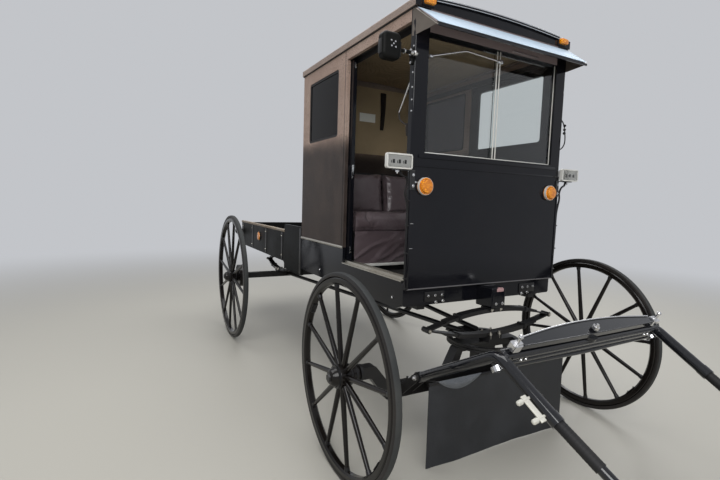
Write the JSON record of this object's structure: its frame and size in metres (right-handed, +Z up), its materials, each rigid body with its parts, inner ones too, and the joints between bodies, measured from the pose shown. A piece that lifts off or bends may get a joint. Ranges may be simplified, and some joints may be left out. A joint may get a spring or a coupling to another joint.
{
  "type": "horse drawn cab buggy",
  "caption": "Enclosed horse drawn buggy with sliding doors, windshield, open rear box, spoked wheels and shafts resting on the floor.",
  "frame": {"origin": "on the floor, at the middle of the overall length and width", "axes": "+Z up, the front (shafts) faces -Y, the buggy's own right side is -X"},
  "size_m": [1.784, 5.3999, 2.158],
  "materials": {
    "black_gloss": "gloss",
    "black_satin": "satin",
    "brown_vinyl": "textured",
    "tan_vinyl": "grained",
    "plum_vinyl": "grained",
    "tan_lining": "woven",
    "clear_glass": "gloss",
    "dark_glass": "gloss",
    "amber_lens": "gloss",
    "red_lens": "gloss",
    "bright_trim": "brushed",
    "chrome": "polished",
    "mirror": "polished",
    "black_rubber": "matte",
    "tyre": "worn",
    "varnished_wood": "satin",
    "painted_wood": "gloss"
  },
  "bodies": {
    "body": {"body_tub": "black_gloss", "chassis_beams": "painted_wood", "dash_panel": "black_gloss", "windshield_frame": "black_satin", "windshield_panes": "clear_glass", "side_panels": "brown_vinyl", "quarter_gaskets": "black_rubber", "quarter_glass": "dark_glass", "belt_mouldings": "bright_trim", "rear_wall": "brown_vinyl", "roof": "tan_vinyl", "headliner": "tan_lining", "rear_lining": "tan_lining", "drip_moulding": "bright_trim", "visor": "black_gloss", "visor_gussets": "black_satin", "door_tracks": "bright_trim", "head_tracks": "bright_trim", "seat_base": "painted_wood", "seat_skirt": "plum_vinyl", "seat_cushion": "plum_vinyl", "seat_backs": "plum_vinyl", "rear_box": "black_gloss", "box_rails": "varnished_wood", "tail_lamps": "red_lens", "amber_lenses": "amber_lens", "lamp_bezels": "chrome", "headlamps": "chrome", "mirror_housing": "black_satin", "mirror_glass": "mirror", "front_spring": "black_satin", "rear_springs": "black_satin", "rear_axle": "black_satin", "fifth_wheel_upper": "black_satin", "reach_poles": "black_satin"},
    "front_gear": {"fifth_wheel_lower": "black_satin", "front_axle": "black_satin", "apron_hanger": "black_satin", "apron": "black_rubber"},
    "shafts": {"shaft_left": "black_gloss", "shaft_right": "black_gloss", "shaft_crossbar": "black_gloss", "holdback_bars": "bright_trim"},
    "singletree": {"singletree": "black_gloss", "tree_ferrules": "chrome"},
    "door_right": {"door_right": "black_gloss", "door_glass_right": "clear_glass"},
    "door_left": {"door_left": "black_gloss", "door_glass_left": "clear_glass"},
    "tailgate": {"tailgate": "black_gloss"},
    "wheel_front_right": {"wheel_front_right": "painted_wood", "tyre_front_right": "tyre"},
    "wheel_front_left": {"wheel_front_left": "painted_wood", "tyre_front_left": "tyre"},
    "wheel_rear_right": {"wheel_rear_right": "painted_wood", "tyre_rear_right": "tyre"},
    "wheel_rear_left": {"wheel_rear_left": "painted_wood", "tyre_rear_left": "tyre"}
  },
  "joints": [
    {"name": "steering", "type": "hinge", "parent": "body", "child": "front_gear", "pos_m": [0, -0.51, 0.48], "axis": [0, 0, 1], "range_deg": [-28, 28]},
    {"name": "wheel_front_right_spin", "type": "hinge", "parent": "front_gear", "child": "wheel_front_right", "pos_m": [-0.83, -0.51, 0.457], "axis": [1, 0, 0], "continuous": true},
    {"name": "wheel_front_left_spin", "type": "hinge", "parent": "front_gear", "child": "wheel_front_left", "pos_m": [0.83, -0.51, 0.457], "axis": [1, 0, 0], "continuous": true},
    {"name": "wheel_rear_right_spin", "type": "hinge", "parent": "body", "child": "wheel_rear_right", "pos_m": [-0.83, 1.71, 0.533], "axis": [1, 0, 0], "continuous": true},
    {"name": "wheel_rear_left_spin", "type": "hinge", "parent": "body", "child": "wheel_rear_left", "pos_m": [0.83, 1.71, 0.533], "axis": [1, 0, 0], "continuous": true},
    {"name": "shaft_lift", "type": "hinge", "parent": "front_gear", "child": "shafts", "pos_m": [0, -0.63, 0.44], "axis": [-1, 0, 0], "range_deg": [0, 31]},
    {"name": "singletree_swing", "type": "hinge", "parent": "shafts", "child": "singletree", "pos_m": [0, -1.10696, 0.72456], "axis": [0, -0.5075, 0.8616], "range_deg": [-12, 12]},
    {"name": "door_right_slide", "type": "slide", "parent": "body", "child": "door_right", "axis": [0, -1, 0], "range_m": [0, 0.6]},
    {"name": "door_left_slide", "type": "slide", "parent": "body", "child": "door_left", "axis": [0, 1, 0], "range_m": [0, 0.6]},
    {"name": "tailgate_hinge", "type": "hinge", "parent": "body", "child": "tailgate", "pos_m": [0, 2.694, 0.738], "axis": [-1, 0, 0], "range_deg": [0, 90]}
  ]
}
